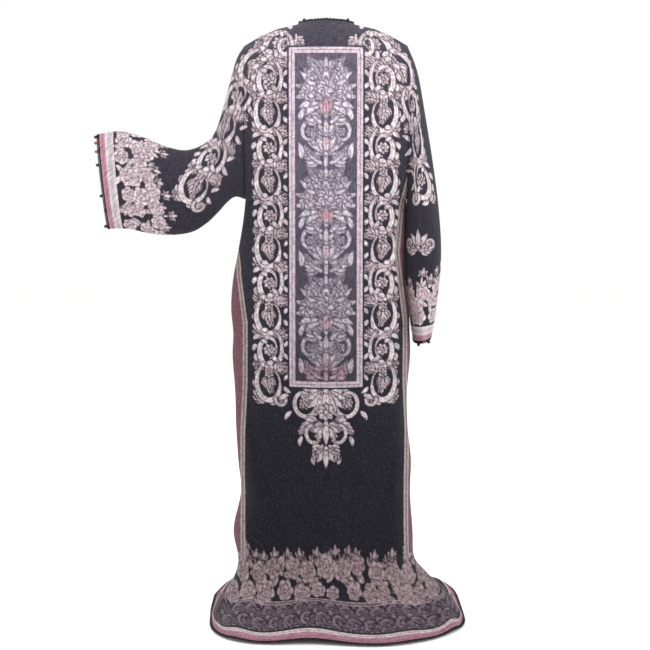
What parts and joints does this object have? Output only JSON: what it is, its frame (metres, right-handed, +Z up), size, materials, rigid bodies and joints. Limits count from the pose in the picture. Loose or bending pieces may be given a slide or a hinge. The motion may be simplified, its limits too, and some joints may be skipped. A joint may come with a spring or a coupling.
{
  "type": "abaya",
  "caption": "Floor-length open-front abaya held in its worn shape, with wide sleeves, a printed ornament, a train on the floor and crocheted edging.",
  "frame": {"origin": "middle of the neck opening at the height of the back neckline, where the wearer's neck and shoulders hold the garment", "axes": "+Z up, -Y towards the wearer's back, -X towards the wearer's left arm, which is held out"},
  "size_m": [0.9188, 0.6935, 1.4684],
  "materials": {
    "printed_cloth": "matt printed plain weave",
    "edging_thread": "black crocheted cotton",
    "black_bead": "polished round bead",
    "coral_bead": "polished round bead"
  },
  "bodies": {
    "root": {"back": "printed_cloth", "front_left": "printed_cloth", "front_right": "printed_cloth", "sleeve_left": "printed_cloth", "sleeve_right": "printed_cloth", "neck_edging": "edging_thread", "front_edging_left": "edging_thread", "front_edging_right": "edging_thread", "cuff_edging_left": "edging_thread", "cuff_edging_right": "edging_thread", "hem_edging_back": "edging_thread", "hem_edging_left": "edging_thread", "hem_edging_right": "edging_thread"}
  },
  "joints": []
}
